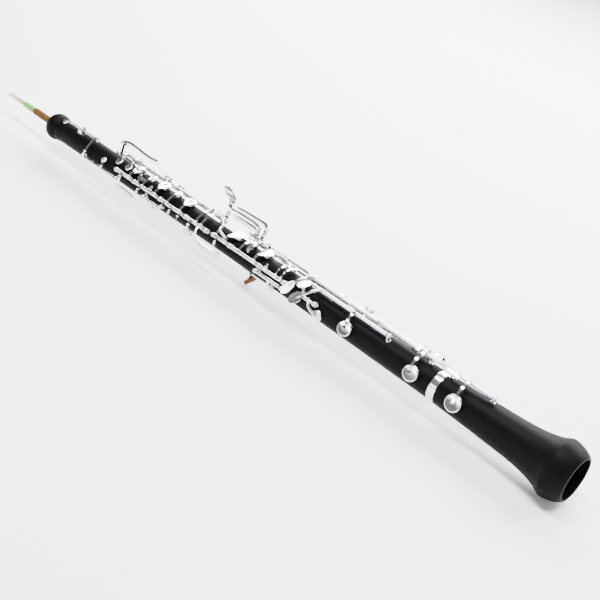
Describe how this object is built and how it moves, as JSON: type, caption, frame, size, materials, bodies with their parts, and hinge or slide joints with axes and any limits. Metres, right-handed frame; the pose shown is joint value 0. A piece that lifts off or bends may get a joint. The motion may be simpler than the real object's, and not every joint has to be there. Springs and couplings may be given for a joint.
{
  "type": "oboe",
  "caption": "Slender conical woodwind with flared bell, thread-bound double reed and sprung silver keywork of plates, cups, rods and levers on posts.",
  "frame": {"origin": "on the bore axis at the bell's end face, where a stand's peg carries the instrument", "axes": "+X along the bore towards the bell mouth (the reed is at -X), +Z towards the finger plates, +Y towards the player's left"},
  "size_m": [0.666, 0.0527, 0.0592],
  "materials": {
    "brass": "drawn brass tube",
    "cane": "scraped reed cane",
    "cork": "natural cork",
    "pad": "kid and cork pads",
    "silver": "polished silver plate",
    "steel": "blued steel rods",
    "thread": "wound nylon thread",
    "wood": "oiled grenadilla, nearly black, fine grain"
  },
  "bodies": {
    "bell": {"bell_body": "wood", "bell_ring": "silver", "bell_posts": "silver", "bell_rod": "steel"},
    "lower_joint": {"lower_joint_body": "wood", "lower_tenon_cork": "cork", "lower_posts": "silver", "lower_rods": "steel", "thumb_rest": "silver", "thumb_rest_cork": "cork", "thumb_rest_screws": "silver"},
    "upper_joint": {"upper_joint_body": "wood", "upper_tenon_cork": "cork", "upper_posts": "silver", "upper_rods": "steel", "third_octave_saddle": "silver", "third_octave_pin": "steel"},
    "reed": {"reed_cane": "cane", "reed_thread": "thread", "reed_cork": "cork", "reed_staple": "brass"},
    "third_octave_key": {"third_octave_key": "silver"},
    "first_octave_key": {"first_octave_key": "silver"},
    "thumb_octave_lever": {"thumb_octave_lever": "silver"},
    "side_octave_key": {"side_octave_key": "silver"},
    "trill_key_1": {"trill_key_1": "silver"},
    "trill_key_2": {"trill_key_2": "silver"},
    "half_hole_key": {"half_hole_key": "silver"},
    "upper_vent_key": {"upper_vent_key": "silver"},
    "second_plate_key": {"second_plate_key": "silver", "second_plate_pad": "pad"},
    "lower_vent_key": {"lower_vent_key": "silver"},
    "third_plate_key": {"third_plate_key": "silver", "third_plate_pad": "pad"},
    "trill_lever_1": {"trill_lever_1": "silver"},
    "trill_lever_2": {"trill_lever_2": "silver"},
    "back_vent_key": {"back_vent_key": "silver"},
    "g_sharp_key": {"g_sharp_key": "silver", "g_sharp_pad": "pad"},
    "bridge_lever": {"bridge_lever": "silver"},
    "fourth_plate_key": {"fourth_plate_key": "silver", "fourth_plate_pad": "pad"},
    "middle_vent_key": {"middle_vent_key": "silver"},
    "fifth_plate_key": {"fifth_plate_key": "silver", "fifth_plate_pad": "pad"},
    "ring_key": {"ring_key": "silver", "ring_pad": "pad"},
    "f_key": {"f_key": "silver"},
    "forked_f_key": {"forked_f_key": "silver"},
    "low_c_key": {"low_c_key": "silver", "low_c_pad": "pad"},
    "c_sharp_key": {"c_sharp_key": "silver"},
    "e_flat_key": {"e_flat_key": "silver"},
    "low_b_key": {"low_b_key": "silver", "low_b_pad": "pad"},
    "low_b_lever": {"low_b_lever": "silver"},
    "low_b_flat_lever": {"low_b_flat_lever": "silver"},
    "e_flat_lever": {"e_flat_lever": "silver"},
    "bell_key": {"bell_key": "silver", "bell_pad": "pad"}
  },
  "joints": [
    {"name": "lower_tenon_slide", "type": "slide", "parent": "bell", "child": "lower_joint", "axis": [-1, 0, 0], "range_m": [0, 0.018]},
    {"name": "upper_tenon_slide", "type": "slide", "parent": "lower_joint", "child": "upper_joint", "axis": [-1, 0, 0], "range_m": [0, 0.018]},
    {"name": "reed_slide", "type": "slide", "parent": "upper_joint", "child": "reed", "axis": [-1, 0, 0], "range_m": [0, 0.02]},
    {"name": "third_octave_hinge", "type": "hinge", "parent": "upper_joint", "child": "third_octave_key", "pos_m": [-0.556, -0.00186, 0.01327], "axis": [0, 0.9903, 0.1392], "range_deg": [0, 5], "stiffness_Nm_per_rad": 0.03, "springref_deg": -6.88},
    {"name": "first_octave_hinge", "type": "hinge", "parent": "upper_joint", "child": "first_octave_key", "pos_m": [-0.515, -0.01436, -0.00202], "axis": [1, 0, 0], "range_deg": [0, 6], "stiffness_Nm_per_rad": 0.03, "springref_deg": -6.88},
    {"name": "thumb_octave_touch_hinge", "type": "hinge", "parent": "upper_joint", "child": "thumb_octave_lever", "pos_m": [-0.485, -0.01328, 0.00605], "axis": [1, 0, 0], "range_deg": [0, 5], "stiffness_Nm_per_rad": 0.03, "springref_deg": -6.88},
    {"name": "side_octave_hinge", "type": "hinge", "parent": "upper_joint", "child": "side_octave_key", "pos_m": [-0.51, 0.01388, 0.00451], "axis": [1, 0, 0], "range_deg": [0, 6], "stiffness_Nm_per_rad": 0.03, "springref_deg": -6.88},
    {"name": "trill_1_hinge", "type": "hinge", "parent": "upper_joint", "child": "trill_key_1", "pos_m": [-0.44, 0.00858, 0.01181], "axis": [1, 0, 0], "range_deg": [-6, 0], "stiffness_Nm_per_rad": 0.03, "springref_deg": 6.88},
    {"name": "trill_2_hinge", "type": "hinge", "parent": "upper_joint", "child": "trill_key_2", "pos_m": [-0.435, 0.01166, 0.00879], "axis": [1, 0, 0], "range_deg": [-6, 0], "stiffness_Nm_per_rad": 0.03, "springref_deg": 6.88},
    {"name": "half_hole_hinge", "type": "hinge", "parent": "upper_joint", "child": "half_hole_key", "pos_m": [-0.475, -0.01328, 0.00605], "axis": [1, 0, 0], "range_deg": [-7, 0], "stiffness_Nm_per_rad": 0.03, "springref_deg": 6.88},
    {"name": "upper_vent_hinge", "type": "hinge", "parent": "upper_joint", "child": "upper_vent_key", "pos_m": [-0.46, -0.01328, 0.00605], "axis": [1, 0, 0], "range_deg": [-7, 0], "stiffness_Nm_per_rad": 0.03, "springref_deg": 6.88},
    {"name": "second_plate_hinge", "type": "hinge", "parent": "upper_joint", "child": "second_plate_key", "pos_m": [-0.445, -0.01328, 0.00605], "axis": [1, 0, 0], "range_deg": [-7, 0], "stiffness_Nm_per_rad": 0.03, "springref_deg": 6.88},
    {"name": "lower_vent_hinge", "type": "hinge", "parent": "upper_joint", "child": "lower_vent_key", "pos_m": [-0.426, -0.01328, 0.00605], "axis": [1, 0, 0], "range_deg": [-7, 0], "stiffness_Nm_per_rad": 0.03, "springref_deg": 6.88},
    {"name": "third_plate_hinge", "type": "hinge", "parent": "upper_joint", "child": "third_plate_key", "pos_m": [-0.412, -0.01328, 0.00605], "axis": [1, 0, 0], "range_deg": [-7, 0], "stiffness_Nm_per_rad": 0.03, "springref_deg": 6.88},
    {"name": "trill_touch_1_hinge", "type": "hinge", "parent": "upper_joint", "child": "trill_lever_1", "pos_m": [-0.392, -0.01328, 0.00605], "axis": [1, 0, 0], "range_deg": [0, 2.8], "stiffness_Nm_per_rad": 0.03, "springref_deg": -6.88},
    {"name": "trill_touch_2_hinge", "type": "hinge", "parent": "upper_joint", "child": "trill_lever_2", "pos_m": [-0.382, -0.01328, 0.00605], "axis": [1, 0, 0], "range_deg": [0, 2.8], "stiffness_Nm_per_rad": 0.03, "springref_deg": -6.88},
    {"name": "back_vent_hinge", "type": "hinge", "parent": "upper_joint", "child": "back_vent_key", "pos_m": [-0.443, -0.01452, -0.00153], "axis": [1, 0, 0], "range_deg": [-6, 0], "stiffness_Nm_per_rad": 0.03, "springref_deg": 6.88},
    {"name": "g_sharp_hinge", "type": "hinge", "parent": "upper_joint", "child": "g_sharp_key", "pos_m": [-0.389, 0.01459, -0.00051], "axis": [1, 0, 0], "range_deg": [0, 6], "stiffness_Nm_per_rad": 0.03, "springref_deg": -6.88},
    {"name": "bridge_touch_hinge", "type": "hinge", "parent": "lower_joint", "child": "bridge_lever", "pos_m": [-0.361, -0.01342, 0.00714], "axis": [1, 0, 0], "range_deg": [-4, 0], "stiffness_Nm_per_rad": 0.03, "springref_deg": 6.88},
    {"name": "fourth_plate_hinge", "type": "hinge", "parent": "lower_joint", "child": "fourth_plate_key", "pos_m": [-0.353, -0.01342, 0.00714], "axis": [1, 0, 0], "range_deg": [-7, 0], "stiffness_Nm_per_rad": 0.03, "springref_deg": 6.88},
    {"name": "middle_vent_hinge", "type": "hinge", "parent": "lower_joint", "child": "middle_vent_key", "pos_m": [-0.335, -0.01342, 0.00714], "axis": [1, 0, 0], "range_deg": [-7, 0], "stiffness_Nm_per_rad": 0.03, "springref_deg": 6.88},
    {"name": "fifth_plate_hinge", "type": "hinge", "parent": "lower_joint", "child": "fifth_plate_key", "pos_m": [-0.32, -0.01342, 0.00714], "axis": [1, 0, 0], "range_deg": [-7, 0], "stiffness_Nm_per_rad": 0.03, "springref_deg": 6.88},
    {"name": "ring_hinge", "type": "hinge", "parent": "lower_joint", "child": "ring_key", "pos_m": [-0.298, -0.01363, 0.00716], "axis": [1, 0, 0], "range_deg": [-7, 0], "stiffness_Nm_per_rad": 0.03, "springref_deg": 6.88},
    {"name": "f_hinge", "type": "hinge", "parent": "lower_joint", "child": "f_key", "pos_m": [-0.319, 0.00958, 0.01141], "axis": [1, 0, 0], "range_deg": [0, 5], "stiffness_Nm_per_rad": 0.03, "springref_deg": -6.88},
    {"name": "forked_f_hinge", "type": "hinge", "parent": "lower_joint", "child": "forked_f_key", "pos_m": [-0.298, -0.01523, 0.00228], "axis": [1, 0, 0], "range_deg": [-6, 0], "stiffness_Nm_per_rad": 0.03, "springref_deg": 6.88},
    {"name": "low_c_hinge", "type": "hinge", "parent": "lower_joint", "child": "low_c_key", "pos_m": [-0.219, -0.00525, 0.01617], "axis": [1, 0, 0], "range_deg": [0, 7], "stiffness_Nm_per_rad": 0.03, "springref_deg": -6.88},
    {"name": "c_sharp_hinge", "type": "hinge", "parent": "lower_joint", "child": "c_sharp_key", "pos_m": [-0.233, 0.00237, 0.01683], "axis": [1, 0, 0], "range_deg": [0, 5], "stiffness_Nm_per_rad": 0.03, "springref_deg": -6.88},
    {"name": "e_flat_hinge", "type": "hinge", "parent": "lower_joint", "child": "e_flat_key", "pos_m": [-0.257, -0.01348, 0.00658], "axis": [1, 0, 0], "range_deg": [-6, 0], "stiffness_Nm_per_rad": 0.03, "springref_deg": 6.88},
    {"name": "low_b_hinge", "type": "hinge", "parent": "lower_joint", "child": "low_b_key", "pos_m": [-0.167, 0.00237, 0.01683], "axis": [1, 0, 0], "range_deg": [0, 7], "stiffness_Nm_per_rad": 0.03, "springref_deg": -6.88},
    {"name": "low_b_touch_hinge", "type": "hinge", "parent": "lower_joint", "child": "low_b_lever", "pos_m": [-0.253, 0.01785, 0.00445], "axis": [1, 0, 0], "range_deg": [0, 2.2], "stiffness_Nm_per_rad": 0.03, "springref_deg": -6.88},
    {"name": "low_b_flat_touch_hinge", "type": "hinge", "parent": "lower_joint", "child": "low_b_flat_lever", "pos_m": [-0.238, 0.01577, 0.00986], "axis": [1, 0, 0], "range_deg": [0, 2.2], "stiffness_Nm_per_rad": 0.03, "springref_deg": -6.88},
    {"name": "e_flat_touch_hinge", "type": "hinge", "parent": "lower_joint", "child": "e_flat_lever", "pos_m": [-0.303, 0.01773, -0.00155], "axis": [1, 0, 0], "range_deg": [0, 4], "stiffness_Nm_per_rad": 0.03, "springref_deg": -6.88},
    {"name": "bell_hinge", "type": "hinge", "parent": "bell", "child": "bell_key", "pos_m": [-0.101, 0.00095, 0.01818], "axis": [1, 0, 0], "range_deg": [0, 7], "stiffness_Nm_per_rad": 0.03, "springref_deg": -6.88}
  ],
  "couplings": [
    {"joint": "first_octave_hinge", "follows": "thumb_octave_touch_hinge", "ratio": 1.1},
    {"joint": "trill_1_hinge", "follows": "trill_touch_1_hinge", "ratio": -2},
    {"joint": "trill_2_hinge", "follows": "trill_touch_2_hinge", "ratio": -2},
    {"joint": "low_b_hinge", "follows": "low_b_touch_hinge", "ratio": 3.1},
    {"joint": "bell_hinge", "follows": "low_b_flat_touch_hinge", "ratio": 3.1},
    {"joint": "e_flat_hinge", "follows": "e_flat_touch_hinge", "ratio": -1.4},
    {"joint": "upper_vent_hinge", "follows": "second_plate_hinge", "ratio": 1},
    {"joint": "lower_vent_hinge", "follows": "third_plate_hinge", "ratio": 1},
    {"joint": "middle_vent_hinge", "follows": "fifth_plate_hinge", "ratio": 1}
  ]
}
